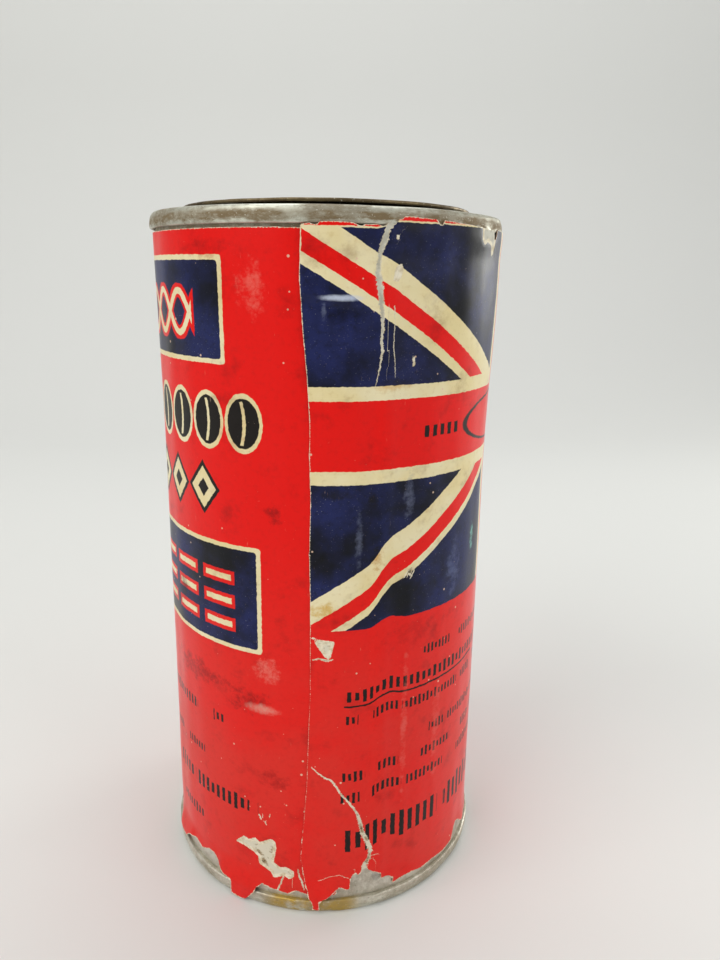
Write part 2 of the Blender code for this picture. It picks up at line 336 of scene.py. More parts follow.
def buildLabel():
    spec = labelSheet
    # down the flap's edge, along the torn lower edge, up the hidden end, back along the top
    outline = lapEdge[1:] + lowerEdge[1:] + upperEdge
    columns = spaced([(spec["start"], 0.45), (6, 0.3), (14, 0.5), (26, 0.8), (33, 0.5),
                      (42, 1.1), (girth - 46, 0.6), (spec["end"] + 0.6, 1)])
    rows = spaced([(0.0, 0.42), (19, 0.75), (42, 1.05), (116, 0.8), (130, 0.42), (138, 0.8),
                   (143, 0.42), (149, 1)])
    xs, zs = np.meshgrid(columns, rows, indexing="ij")
    ragged = 0.1 * ripples(xs, zs, 18, (0.9, 2.2), 1, 11) + 0.07 * ripples(xs, zs, 12, (2.5, 5), 1, 12)
    field = polygonDistance(xs, zs, outline) + ragged * smooth(26, 14, zs) + 0.35 * ragged
    points, faces, rim = cutSheet(columns, rows, field)
    x, z = points[:, 0], points[:, 1]
    edge = np.maximum(polygonDistance(x, z, outline), 0)
    side, half = crackFields(x, z, wrapped(labelCracks))
    torn = np.full(x.shape, -5.0)
    for patch in wrapped(labelTears):
        torn = np.maximum(torn, polygonDistance(x, z, patch))
    radius = labelRadius(x, z, edge, side, half, torn)
    # the rim turns in towards the tin, and shows the paper's core
    rimPoints = sorted({v for pair in rim for v in pair})
    inner = {v: len(points) + i for i, v in enumerate(rimPoints)}
    faces += [[b, a, inner[a], inner[b]] for a, b in rim]
    x, z = (np.append(v, v[rimPoints]) for v in (x, z))
    radius = np.append(radius, radius[rimPoints] - spec["thickness"])
    angle = x / spec["radius"]
    verts = np.stack([radius * np.sin(angle), -radius * np.cos(angle), z], 1) * mm
    mesh = bpy.data.meshes.new("paper_sheet")
    mesh.from_pydata(verts.tolist(), [], faces)
    corner = np.zeros(len(mesh.loops), int)
    mesh.loops.foreach_get("vertex_index", corner)
    left = 1 - smooth(8.4, 12.2, x)
    slip = left * (0.12 + 0.88 * smooth(99, 84, z) + 0.75 * smooth(134, 145, z))
    shiftX, shiftZ = spec["printShift"]
    crease = 0.8 * bell(x, 13.6, 2.4) * smooth(99, 84, z)
    for name, u, v in (("sheet", x, z), ("print", x - shiftX * slip, z - shiftZ * slip - crease)):
        layer = mesh.uv_layers.new(name=name)
        layer.data.foreach_set("uv", (np.stack([u, v], 1)[corner] / uvUnit).astype("f").ravel())
    more = len(rimPoints)
    for name, values, filler in (("crackSide", side, 4), ("crackHalf", half, -1),
                                 ("torn", torn, -5), ("edge", edge, 0)):
        full = np.append(values, np.full(more, float(filler)))
        made = mesh.attributes.new(name, "FLOAT", "POINT")
        made.data.foreach_set("value", full.astype("f"))
    for _ in ("face", "rim"):
        mesh.materials.append(None)
    slots = np.zeros(len(mesh.polygons), int)
    slots[len(faces) - len(rim):] = 1
    mesh.polygons.foreach_set("material_index", slots)
    mesh.shade_smooth()
    mesh.set_sharp_from_angle(angle=math.radians(50))
    print("label sheet:", len(mesh.vertices), "points", len(mesh.polygons), "faces")
    return linkObject("label_sheet", mesh)


# The print, in millimetres on the sheet.
labelPrint = {
    "flagCentre": (55.4, 109.0),
    "flagBox": (55.1, 108.85, 60.4, 38.55),    # centre and half size: only red lies past it
    "hairline": 0.28, "hairlineFrom": 120.0,
    "crossRed": 6.75, "crossCream": 9.45,
    "slope": 0.634, "diagonalCream": 5.38, "diagonalRed": 1.98,
    "oval": (22.8, 5.4), "ovalStroke": 0.22,
    "frontCentre": 181.7,
    "upperBox": (131.5, 31.3, 10.0), "lowerBox": (74.0, 38.2, 11.6),   # z, half width, half height
    "boxBorder": 0.95, "boxCorner": 0.9,
    "loops": {"z": 130.9, "half": 22.2, "pitch": 7.4, "crest": 4.0},
    "beans": {"z": 110.5, "pitch": 8.75, "count": 9, "half": (3.5, 4.9)},
    "lozenges": {"z": 96.4, "pitch": 9.7, "count": 6, "half": (4.7, 5.7)},
    "bars": {"z": 73.0, "pitch": 11.0, "count": 6, "half": 3.0, "apart": 5.2},
}

inks = {
    "red": "#E90B04", "redWorn": "#DF2C22", "navy": "#05060F", "navyLight": "#1D2558",
    "cream": "#E6D5A0", "creamPale": "#EDE2BC", "black": "#17120F", "core": "#EFE6CF",
}


def mask(add, field, edge=0.1):
    # 1 where a distance field in millimetres is above 0, with an edge as soft as ink on paper.
    return add("MULTIPLY_ADD", field, 1 / edge, 0.5, use_clamp=True)


def over(add, field, under, ink, edge=0.1):
    # Lays an ink over what lies under it wherever the field is above 0.
    return add("MixRGB", mask(add, field, edge), under, ink)


def tinted(add, driver, ramp, under, tint):
    # Lays a tint where the driver runs through the ramp: from, to and the least and most of the tint.
    return add("MixRGB", add("MapRange", driver, *ramp, **soft), under, tint)


def offFrom(add, value, centre):
    return add("ABSOLUTE", add("SUBTRACT", value, centre))


def insideBox(add, x, z, box, corner=0.0):
    # Distance inside a box (centre x, centre z, half width, half height), rounded at its corners.
    cx, cz, halfX, halfZ = box
    dx = add("SUBTRACT", offFrom(add, x, cx), halfX - corner)
    dz = add("SUBTRACT", offFrom(add, z, cz), halfZ - corner)
    if not corner:
        return add("MULTIPLY", add("MAXIMUM", dx, dz), -1.0)
    return add("SUBTRACT", corner, add("SMOOTH_MAX", dx, dz, corner * 1.2))


def flagInks(add, x, z, ground):
    # Crossed stripes on navy. The right half is the left one turned about the middle.
    spec = labelPrint
    px = add("SUBTRACT", x, spec["flagCentre"][0])
    pz = add("SUBTRACT", z, spec["flagCentre"][1])
    hx = add("MULTIPLY", add("ABSOLUTE", px), -1.0)
    hz = add("MULTIPLY", add("MULTIPLY", pz, add("SIGN", px)), -1.0)
    upper = add("GREATER_THAN", hz, 0.0)
    slope = add("MULTIPLY_ADD", upper, 2 * spec["slope"], -spec["slope"])
    across = add("MULTIPLY_ADD", slope, hx, hz)
    # the red stripes lie off the middle of the cream ones, by more in the lower half
    across = add("ADD", across, add("MULTIPLY_ADD", upper, 1.15, 0.05))
    creamBand = add("SUBTRACT", spec["diagonalCream"], add("ABSOLUTE", across))
    across = add("ADD", across, add("MULTIPLY_ADD", upper, -0.5, 1.6))
    redBand = add("SUBTRACT", spec["diagonalRed"], add("ABSOLUTE", across))
    arm = add("MINIMUM", add("ABSOLUTE", px), add("ABSOLUTE", pz))
    creamCross = add("SUBTRACT", spec["crossCream"], arm)
    redCross = add("SUBTRACT", spec["crossRed"], arm)
    inked = over(add, add("MAXIMUM", creamBand, creamCross), ground["navy"], ground["cream"])
    offCross = add("MULTIPLY", add("ADD", creamCross, 0.25), -1.0)
    inked = over(add, add("MINIMUM", redBand, offCross), inked, ground["red"])
    inked = over(add, redCross, inked, ground["red"])
    # a plain thin oval in the middle of the band
    wide, high = spec["oval"]
    oval = add("CombineXYZ", add("DIVIDE", px, wide), add("DIVIDE", pz, high))
    ring = add("SUBTRACT", add("VectorMath", oval, out=1, operation="LENGTH"), 1.0)
    ring = add("SUBTRACT", spec["ovalStroke"], add("MULTIPLY", add("ABSOLUTE", ring), high))
    return over(add, ring, inked, ground["black"])


def cellOf(add, x, centre, row):
    # Folds x into one cell of a row; gives the place in the cell and how far inside the row x is.
    pitch, count = row["pitch"], row["count"]
    offset = add("SUBTRACT", x, centre + (0 if count % 2 == 0 else pitch / 2))
    folded = add("SUBTRACT", add("FLOORED_MODULO", offset, pitch), pitch / 2)
    return folded, add("SUBTRACT", count * pitch / 2, offFrom(add, x, centre))


def frontInks(add, x, z, inked, ground):
    spec = labelPrint
    middle = spec["frontCentre"]
    for height, halfX, halfZ in (spec["upperBox"], spec["lowerBox"]):
        outer = insideBox(add, x, z, (middle, height, halfX, halfZ), spec["boxCorner"])
        inked = over(add, outer, inked, ground["cream"])
        inked = over(add, add("SUBTRACT", outer, spec["boxBorder"]), inked, ground["navy"])
    # a chain of loops in the upper box: two waves that cross, drawn as strokes of even width
    row = spec["loops"]
    cz = offFrom(add, z, row["z"])
    phase = add("MULTIPLY", add("SUBTRACT", x, middle), math.pi / row["pitch"])
    crest = add("MULTIPLY", add("ABSOLUTE", add("SINE", phase)), row["crest"])
    steep = add("MULTIPLY", add("COSINE", phase), row["crest"] * math.pi / row["pitch"])
    rate = add("SQRT", add("MULTIPLY_ADD", steep, steep, 1.0))
    off = add("DIVIDE", offFrom(add, cz, crest), rate)
    ends = add("SUBTRACT", row["half"], offFrom(add, x, middle))
    for ink, half in (("red", 1.35), ("cream", 0.62)):
        stroke = add("MINIMUM", add("SUBTRACT", half, off), add("ADD", ends, half))
        inked = over(add, stroke, inked, ground[ink])
    # a row of black beans edged in cream, each with a bowed slit
    row = spec["beans"]
    cx, inRow = cellOf(add, x, middle, row)
    cz = add("SUBTRACT", z, row["z"])
    wide, high = row["half"]
    oval = add("CombineXYZ", add("DIVIDE", cx, wide), add("DIVIDE", cz, high))
    reach = add("SUBTRACT", 1.0, add("VectorMath", oval, out=1, operation="LENGTH"))
    bean = add("MULTIPLY", reach, 3.8)
    bend = add("MULTIPLY_ADD", add("MULTIPLY", cz, cz), 0.035, -0.3)
    slit = add("SUBTRACT", 0.36, add("ABSOLUTE", add("ADD", cx, bend)))
    slit = add("MINIMUM", slit, add("SUBTRACT", bean, 0.5))
    for field, ink in ((add("ADD", bean, 0.75), "cream"), (bean, "black"), (slit, "cream")):
        inked = over(add, add("MINIMUM", field, inRow), inked, ground[ink])
    # a row of cream lozenges edged in black
    row = spec["lozenges"]
    cx, inRow = cellOf(add, x, middle, row)
    wide, high = row["half"]
    reach = add("MULTIPLY_ADD", add("ABSOLUTE", cx), high / wide, offFrom(add, z, row["z"]))
    lozenge = add("MULTIPLY", add("SUBTRACT", high, reach), 0.64)
    for ink, inset in (("black", 0.0), ("cream", 0.8), ("black", 2.4)):
        inked = over(add, add("MINIMUM", add("SUBTRACT", lozenge, inset), inRow), inked, ground[ink])
    # stacks of three cream bars edged in red, in the lower box
    row = spec["bars"]
    cx, inRow = cellOf(add, x, middle, row)
    cz = add("SUBTRACT", z, row["z"])
    bar = add("PINGPONG", add("ADD", cz, 10 * row["apart"]), row["apart"] / 2)
    offBar = add("MAXIMUM", bar, add("SUBTRACT", add("ABSOLUTE", cz), row["apart"]))
    for ink, half in (("red", 1.5), ("cream", 0.62)):
        long = add("SUBTRACT", row["half"] + half, add("ABSOLUTE", cx))
        field = add("MINIMUM", long, add("SUBTRACT", half, offBar))
        inked = over(add, add("MINIMUM", field, inRow), inked, ground[ink])
    return inked


# Rows of plain ticks where such a label has its small print:
# centre x, z, half length, half height, pitch, and how close together the gaps between words are.
tickRows = [
    (55.4, 61.3, 34.5, 1.15, 1.15, 0.17), (55.4, 55.2, 52.3, 1.45, 1.7, 0.1),
    (55.4, 49.7, 52.3, 1.2, 1.2, 0.13), (55.4, 41.7, 34.5, 1.15, 1.15, 0.16),
    (55.4, 36.0, 53.0, 1.3, 1.25, 0.12), (55.4, 30.7, 53.3, 1.3, 1.25, 0.12),
    (55.4, 19.8, 52.5, 3.3, 2.3, 0.062), (181.7, 44.6, 27.8, 1.4, 1.4, 0.1),
    (181.7, 34.0, 21.0, 1.1, 1.15, 0.14), (181.7, 25.0, 36.8, 2.1, 1.8, 0.09),
    (181.7, 15.8, 19.5, 1.4, 1.4, 0.11), (24.9, 109.0, 5.2, 1.15, 2.1, 0.0),
    (85.9, 109.0, 5.2, 1.15, 2.1, 0.0),
]
underline = (23.5, 52.9, 20.6, 0.22)


def tickInks(add, x, z, inked, ground):
    # Each tick has its own height, and a slow noise leaves gaps between runs of them.
    best = None
    for i, (cx, cz, halfX, halfZ, pitch, gaps) in enumerate(tickRows):
        start = add("SUBTRACT", x, cx - halfX)
        tick = add("SUBTRACT", add("PINGPONG", start, pitch / 2), pitch * 0.24)
        ends = add("SUBTRACT", halfX, offFrom(add, x, cx))
        high = halfZ
        if gaps:
            place = add("MULTIPLY_ADD", x, gaps, 17.3 * i)
            word = add("TexNoise", W=place, Scale=1.0, Detail=0.0, noise_dimensions="1D")
            tick = add("MINIMUM", tick, add("MULTIPLY", add("SUBTRACT", word, 0.38), 9.0))
            step = add("FLOOR", add("DIVIDE", start, pitch))
            dice = add("TexWhiteNoise", W=step, noise_dimensions="1D")
            high = add("MULTIPLY_ADD", dice, 0.5 * halfZ, 0.55 * halfZ)
        row = add("MINIMUM", add("SUBTRACT", high, offFrom(add, z, cz)), add("MINIMUM", ends, tick))
        best = row if best is None else add("MAXIMUM", best, row)
    best = add("MAXIMUM", best, insideBox(add, x, z, underline))
    return over(add, best, inked, ground["black"])


# Marks: x, z, half width, half height, colour, strength. Most are old marks; a few are painted
# light, noted where they stand. Stains darken what they lie on, and scuffs are paler than it.
labelStainsAndShade = [
    (200.5, 53.8, 12.0, 3.4, "#B04A40", 0.9), (216.5, 51.0, 6.5, 3.6, "#A84034", 0.8),
    (196.0, 72.0, 3.0, 4.0, "#404040", 0.7), (223.0, 93.0, 2.4, 2.6, "#A03028", 0.8),
    (222.5, 33.0, 4.0, 3.0, "#C06058", 0.7), (-0.6, 73.8, 3.6, 2.0, "#E0B840", 0.95),
    (10.4, 84.0, 1.8, 4.6, "#D0A050", 0.9), (2.0, 97.5, 4.2, 1.4, "#E8C088", 0.9),
    (9.0, 96.4, 1.2, 3.4, "#D9A860", 0.9), (12.5, 118.5, 5.0, 1.6, "#E6C490", 0.8),
    # (3.0, 131.4) is painted shade: the shadow under the pucker by the flap's edge.
    (3.0, 131.4, 5.5, 2.0, "#505058", 0.7), (214.0, 108.0, 5.0, 6.0, "#D08078", 0.4),
    (20.0, 66.0, 9.0, 4.0, "#D07068", 0.5), (17.9, 79.9, 0.9, 1.0, "#202020", 0.9),
    (209.0, 142.5, 9.0, 2.2, "#C86860", 0.6),
]
labelScuffsAndHighlights = [
    (221.0, 58.8, 3.4, 3.4, "#EF9A8A", 0.5), (219.5, 49.8, 5.0, 1.4, "#F0B09E", 0.6),
    (219.0, 135.5, 3.4, 5.5, "#F08A7A", 0.45), (39.5, 83.0, 1.3, 3.8, "#7CC4B4", 0.9),
    # (2.6, 134.3) and (-0.6, 131.6) are painted highlights: the glare on the pucker by the flap's edge.
    (2.6, 134.3, 4.8, 0.75, "#C6CFE4", 0.95), (-0.6, 131.6, 0.7, 2.2, "#8D96B4", 0.5),
    # (31, 78), (6.5, 88) and (17, 96) are painted highlights: bluish sheen and reflection on the navy.
    (31.0, 78.0, 3.0, 8.0, "#59638C", 0.6), (6.5, 88.0, 1.0, 7.0, "#6E7590", 0.5),
    (17.0, 96.0, 1.6, 6.0, "#6E7590", 0.5), (190.0, 22.0, 7.0, 6.0, "#E86A5C", 0.4),
    # (27, 40) and (17.6, 45) are painted sheen: pale upright bands along the creases on the red.
    (27.0, 40.0, 1.6, 16.0, "#E8685C", 0.5), (17.6, 45.0, 1.0, 20.0, "#EA7266", 0.5),
]


def marked(add, x, z, shown, marks, ragged, blend):
    # Lays soft oval marks with ragged edges; a thin mark is less ragged.
    for cx, cz, halfX, halfZ, colour, strength in marks:
        dx = add("DIVIDE", add("SUBTRACT", x, cx), halfX)
        dz = add("DIVIDE", add("SUBTRACT", z, cz), halfZ)
        off = add("MULTIPLY_ADD", dx, dx, add("MULTIPLY", dz, dz))
        rough = min(1.0, halfZ / 2.5)
        off = add("MULTIPLY_ADD", ragged, rough, off)
        amount = add("MapRange", off, 1.1, -0.5 * rough, 0.0, strength, **soft)
        shown = add("MixRGB", amount, shown, colour, blend_type=blend)
    return shown

# Noises of the label: ripples to a millimetre, octaves and roughness.
labelNoises = {
    "cloud": (0.05, 4, 0.6), "fine": (0.9, 3, 0.6), "lint": (3.1, 2, 0.6), "crumbs": (2.6, 2, 0.6),
    "rubbed": (0.16, 3, 0.6), "dust": (1.7, 4, 0.75), "grime": (0.11, 5, 0.65),
    "ragged": (0.42, 6, 0.72), "jagged": (0.95, 4, 0.75), "depth": (0.34, 3, 0.6),
    "grain": (2.2, 4, 0.6), "cockle": (0.28, 2, 0.5),
}


def labelInks(add, sheet, sz, noise):
    # Each ink with its own unevenness, and the print laid out in them.
    cloud, fine = noise["cloud"], noise["fine"]
    worn = add("MULTIPLY", add("MapRange", sz, 95.0, 30.0, **soft),
               add("MapRange", cloud, 0.3, 0.62, 0.35, 1.0, **soft))
    red = add("MixRGB", worn, inks["red"], inks["redWorn"])
    red = tinted(add, fine, (0.45, 0.8, 0.0, 0.2), red, "#B5140F")
    navy = tinted(add, cloud, (0.35, 0.65), inks["navy"], inks["navyLight"])
    navy = tinted(add, fine, (0.5, 0.72, 0.0, 0.5), navy, "#0D0E1E")
    lint = add("MULTIPLY", add("MapRange", noise["lint"], 0.66, 0.74, **soft),
               add("MapRange", cloud, 0.4, 0.6, 0.2, 0.75, **soft))
    navy = add("MixRGB", lint, navy, "#8B8D9C")
    cream = tinted(add, cloud, (0.35, 0.65), inks["cream"], inks["creamPale"])
    cream = tinted(add, fine, (0.5, 0.8, 0.0, 0.35), cream, "#C9AE72")
    ground = {"red": red, "navy": navy, "cream": cream, "black": inks["black"]}
    # ink edges wander by a tenth of a millimetre
    art = add("VectorMath", add("UVMap", uv_map="print"), Scale=uvUnit, operation="SCALE")
    wander = add("TexNoise", Vector=sheet, Scale=1.1, Detail=1.0, out=1)
    wander = add("VectorMath", wander, (0.5, 0.5, 0.5), operation="SUBTRACT")
    art = add("VectorMath", wander, (0.34, 0.34, 0.0), art, operation="MULTIPLY_ADD")
    x, z, _ = add("SeparateXYZ", art).node.outputs
    box = insideBox(add, x, z, labelPrint["flagBox"])
    hairline = add("MINIMUM", add("ADD", box, labelPrint["hairline"]),
                   add("SUBTRACT", z, labelPrint["hairlineFrom"]))
    inked = over(add, hairline, red, cream)
    inked = over(add, box, inked, flagInks(add, x, z, ground))
    inked = frontInks(add, x, z, inked, ground)
    return tickInks(add, x, z, inked, ground)


def labelWear(add, sheet, sx, sz, inked, noise):
    # Gives the worn colour, where the print is gone, and how far specks and dust dull it.
    side, half, torn, edge = (add("Attribute", out=2, attribute_name=name)
                              for name in ("crackSide", "crackHalf", "torn", "edge"))
    core = tinted(add, noise["fine"], (0.35, 0.7), inks["core"], "#CDBD9A")
    crumbs = add("SUBTRACT", noise["crumbs"], 0.5)
    # specks where the ink has flaked, a third of a millimetre across
    flakes = add("TexVoronoi", Vector=sheet, Scale=0.33, Randomness=1.0)
    flakeSize = add("TexNoise", Vector=sheet, Scale=0.045, Detail=1.0)
    flakeSize = add("MapRange", flakeSize, 0.42, 0.66, 0.02, 0.085, **soft)
    flakes = mask(add, add("SUBTRACT", flakeSize, flakes), 0.03)
    # scuffs: short fine scratches, mostly upright
    scratch = add("Mapping", sheet, Scale=(1.6, 0.16, 1.0))
    scratch = add("TexNoise", Vector=scratch, Scale=1.0, Detail=3.0, Roughness=0.7)
    scratch = add("MapRange", scratch, 0.69, 0.76, **soft)
    rubbed = noise["rubbed"]
    scratch = add("MULTIPLY", scratch, add("MapRange", rubbed, 0.45, 0.6, 0.0, 0.5, **soft))
    dust = add("MapRange", noise["dust"], 0.66, 0.74, 0.0, 0.45, **soft)
    dust = add("MULTIPLY", dust, add("MapRange", rubbed, 0.42, 0.6, 0.25, 1.0, **soft))
    light = add("MAXIMUM", add("MULTIPLY", flakes, 0.75), add("MAXIMUM", scratch, dust))
    shown = add("MixRGB", light, inked, "#E9C9AE")
    # old damp and grime
    grime = add("MapRange", noise["grime"], 0.52, 0.78, 0.0, 0.5, **soft)
    shown = add("MixRGB", grime, shown, "#8A5B3A", blend_type="MULTIPLY")
    # torn edges show a pale line of paper core
    near = add("MULTIPLY_ADD", crumbs, 0.55, edge)
    rimWide = add("MapRange", sz, 14.0, 10.0, 0.02, 0.12, **soft)
    rimWide = add("MULTIPLY_ADD", add("MapRange", sz, 60.0, 75.0, **soft), 0.08, rimWide)
    shown = over(add, add("SUBTRACT", rimWide, near), shown, core, 0.12)
    ragged = add("MULTIPLY_ADD", noise["ragged"], 5.0, -2.3)
    # stains and scuffs, among them painted shade and painted highlights
    shown = marked(add, sx, sz, shown, labelStainsAndShade, ragged, "MULTIPLY")
    shown = marked(add, sx, sz, shown, labelScuffsAndHighlights, ragged, "MIX")
    # cracks and torn patches: core at their rims, tin and grime deeper in
    jagged = add("SUBTRACT", noise["jagged"], 0.5)
    across = add("ABSOLUTE", add("MULTIPLY_ADD", jagged, 0.9, side))
    narrow = add("MULTIPLY", half, add("MULTIPLY_ADD", crumbs, 1.6, 0.85))
    opened = add("SUBTRACT", narrow, across)
    patch = add("MULTIPLY_ADD", crumbs, 0.4, torn)
    gone = add("MAXIMUM", opened, patch)
    depth = noise["depth"]
    deep = tinted(add, depth, (0.5, 0.6), "#DCD5C0", "#A08C6C")
    deep = tinted(add, depth, (0.63, 0.67), deep, "#5E4D3C")
    dusty = tinted(add, depth, (0.4, 0.6), "#CBC8BA", "#B3AF9F")
    deep = tinted(add, sz, (90.0, 120.0), deep, dusty)
    bare = add("MAXIMUM", add("SUBTRACT", opened, 0.12), add("SUBTRACT", patch, 0.75))
    inner = over(add, bare, core, deep, 0.3)
    return over(add, gone, shown, inner), mask(add, gone), light


def labelMaterial():
    # Calendered litho paper: flat inks with a low, even gloss, gone dull and cracked along its folds.
    made, add, shader = newMaterial("litho_printed_paper", IOR=1.47, Specular_IOR_Level=0.22,
                                    Sheen_Weight=0.25, Sheen_Roughness=0.25)
    sheet = add("VectorMath", add("UVMap", uv_map="sheet"), Scale=uvUnit, operation="SCALE")
    sx, sz, _ = add("SeparateXYZ", sheet).node.outputs
    noise = {name: add("TexNoise", Vector=sheet, Scale=scale, Detail=detail, Roughness=rough)
             for name, (scale, detail, rough) in labelNoises.items()}
    inked = labelInks(add, sheet, sz, noise)
    shown, gone, light = labelWear(add, sheet, sx, sz, inked, noise)
    # gloss: even on the ink, none on torn paper
    gloss = add("MapRange", noise["cloud"], 0.3, 0.7, 0.3, 0.42, **soft)
    gloss = add("ADD", gloss, add("MULTIPLY", gone, 0.4), use_clamp=True)
    gloss = add("ADD", gloss, add("MULTIPLY", light, 0.25), use_clamp=True)
    # paper grain, drawn coarser than real so that it shows
    height = add("MULTIPLY_ADD", noise["cockle"], 3.0, noise["grain"])
    height = add("MULTIPLY_ADD", gone, -1.5, height)
    normal = add("Bump", Height=height, Strength=0.22, Distance=0.06 * mm)
    feed(shader, {"Base Color": shown, "Roughness": gloss, "Normal": normal})
    return made


def coreMaterial():
    # Torn edge of the paper: matt, fibrous, yellowed.
    made, add, shader = newMaterial("torn_paper_edge", Roughness=0.9, IOR=1.45)
    coords = add("UVMap", uv_map="sheet")
    fibres = add("TexNoise", Vector=coords, Scale=180.0, Detail=3.0, Roughness=0.6)
    feed(shader, {"Base Color": add("MixRGB", fibres, "#D3A789", "#94694E")})
    return made


label = buildLabel()
label.data.materials[0] = labelMaterial()
label.data.materials[1] = coreMaterial()
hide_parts("paper_label")
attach(label, "can")
print("label done")


# Shapes are (radius, height, bend) corners in millimetres, as in the CAD model, with true bends.
canShape = {
    "plate": 0.25,
    "seamRadius": 38.1, "seamTop": 150.1, "seamLow": 146.8,
    "bodyWall": 36.74, "bodyFlange": 37.325, "chuckWall": 36.33, "hook": 37.0,
    "sunk": 3.3,                    # how deep the ends' panels lie
    "baseBeads": (31.5, 24.5),
    "solder": (12.15, 1.95),        # place and half width of the run of solder
    "mouth": 28.85, "mouthTop": 150.75, "mouthDepth": 5.6,
    "lidGap": 0.2, "lidEdge": 31.0, "lidTop": 151.65, "lidDepth": 7.0,
    "turns": 288,
}


def bent(corners, steps=5):
    points = []
    for i, (r, z, bend) in enumerate(corners):
        if not bend:
            points.append((r, z))
            continue
        ends = []
        for other in (corners[i - 1], corners[i + 1]):
            away = math.hypot(other[0] - r, other[1] - z)
            part = min(bend / away, 0.49)
            ends.append((r + (other[0] - r) * part, z + (other[1] - z) * part))
        (r0, z0), (r2, z2) = ends
        for k in range(steps + 1):
            t = k / steps
            a, b, c = (1 - t) ** 2, 2 * t * (1 - t), t * t
            points.append((a * r0 + b * r + c * r2, a * z0 + b * z + c * z2))
    return points


def plateOutline(path, thickness):
    left, right = [], []
    last = len(path) - 1
    for i, (r, z) in enumerate(path):
        normals = []
        for j in (max(i - 1, 0), min(i, last - 1)):
            run, rise = path[j + 1][0] - path[j][0], path[j + 1][1] - path[j][1]
            long = math.hypot(run, rise)
            normals.append((-rise / long, run / long))
        (a, b), (c, d) = normals
        sumR, sumZ = a + c, b + d
        reach = thickness / (sumR * c + sumZ * d) / 2
        left.append((r + sumR * reach, z + sumZ * reach))
        right.append((r - sumR * reach, z - sumZ * reach))
    return left + right[::-1]


def turnPiece(name, outline, closed, shape=None):
    # Turns (r, z) points about the axis. shape moves the points: it is where dents come from.
    turns = canShape["turns"]
    flat = np.array(outline)
    count = len(flat)
    angle = np.arange(turns) / turns * math.tau
    r = np.repeat(np.maximum(flat[:, 0], 0)[None], turns, 0)
    z = np.repeat(flat[:, 1][None], turns, 0)
    a = np.repeat(angle[:, None], count, 1)
    if shape:
        r, z = shape(r, z, a)
    verts = np.stack([r * np.sin(a), -r * np.cos(a), z], 2).reshape(-1, 3) * mm
    along = np.append(0, np.cumsum(np.hypot(*np.diff(flat, axis=0).T)))
    faces, uvs = [], []
    spans = count if closed else count - 1
    full = along[-1] + math.hypot(*(flat[0] - flat[-1]))
    around = math.tau * 37
    for t in range(turns):
        nextTurn = (t + 1) % turns
        for i in range(spans):
            j = (i + 1) % count
            face = [t * count + i, t * count + j, nextTurn * count + j, nextTurn * count + i]
            u0, u1 = around * t / turns, around * (t + 1) / turns
            v0, v1 = along[i], along[j] if j else full
            corners = [(u0, v0), (u0, v1), (u1, v1), (u1, v0)]
            if flat[i][0] <= 0:
                face, corners = face[:3], corners[:3]
                face[0] = i
            elif flat[j][0] <= 0:
                face, corners = [face[0], j, face[3]], [corners[0], corners[1], corners[3]]
            faces.append(face)
            uvs += corners
    mesh = bpy.data.meshes.new(name)
    mesh.from_pydata(verts.tolist(), [], faces)
    layer = mesh.uv_layers.new(name="plate")
    layer.data.foreach_set("uv", (np.array(uvs) / uvUnit).astype("f").ravel())
    made = bmesh.new()
    made.from_mesh(mesh)
    bmesh.ops.delete(made, geom=[v for v in made.verts if not v.link_faces], context="VERTS")
    bmesh.ops.recalc_face_normals(made, faces=made.faces)
    made.to_mesh(mesh)
    made.free()
    mesh.shade_smooth()
    mesh.set_sharp_from_angle(angle=math.radians(40))
    return linkObject(name, mesh)


def azimuthOf(angle):
    # Millimetres round the can from the camera's side, -117 to 117.
    radius = labelSheet["radius"]
    return (angle + math.pi) % math.tau * radius - math.pi * radius


def dented(r, z, a, size, seed):
    x = azimuthOf(a)
    soft = ripples(x, z, 18, (9, 30), 0.5, seed)
    small = ripples(x, z, 20, (2, 5), 0.7, seed + 1)
    return r + size * (soft + 0.45 * small)


def topRingShape(r, z, a):
    x = azimuthOf(a)
    seam = smooth(35.8, 36.2, r)
    # the seam is thicker where it takes in the lapped side seam
    lump = bell(x, 12.2, 1.7) * 0.22 + bell(x, 9.4, 0.9) * 0.08
    moved = dented(r, z, a, 0.045, 21) + lump * seam * smooth(150.0, 148.5, z)
    z = z + seam * 0.03 * ripples(x, z, 10, (14, 40), 1, 25)
    return np.where(seam > 0.01, moved, r), z


def bottomEndShape(r, z, a):
    x = azimuthOf(a)
    seam = smooth(35.8, 36.2, r)
    lump = bell(x, 10.8, 2.0) * 0.28
    moved = dented(r, z, a, 0.06, 31) + lump * seam * smooth(0.6, 2.0, z)
    return np.where(seam > 0.01, np.minimum(moved, 38.4), r), z


def bodyShape(r, z, a):
    moved = dented(r, z, a, 0.02, 41)
    near = smooth(6, 14, z) * smooth(144, 136, z)
    flare = 0.33 * smooth(7.5, 4.0, z) * smooth(3.3, 3.7, z)
    return r + (moved - r) * near + flare, z


def lidShape(r, z, a):
    x = azimuthOf(a)
    rim = smooth(29.6, 30.6, r)
    z = z + rim * (0.07 * np.sin(2 * a + 0.6) + 0.03 * ripples(x, z, 10, (8, 30), 1, 51))
    r = r + rim * 0.05 * ripples(x, z, 8, (10, 30), 1, 52)
    return r, z


def seamEdge():
    shape = canShape
    wall = shape["seamRadius"] - shape["plate"] / 2
    low, top = shape["seamLow"] + shape["plate"] / 2, shape["seamTop"] - shape["plate"] / 2
    return [(shape["hook"], low + 1.6, 0), (shape["hook"] - 0.02, low, 0.25), (wall - 0.1, low, 0.3),
            (wall, top - 1.7, 0.8), (wall - 0.55, top - 0.05, 0.6), (shape["chuckWall"], top, 0.35),
            (shape["chuckWall"], shape["seamTop"] - shape["sunk"], 0.6)]


def upsideDown(path):
    return [(r, canShape["seamTop"] - z, bend) for r, z, bend in path]


def meetAxis(outline):
    middle = len(outline) // 2
    return outline[middle:] + outline[:middle]


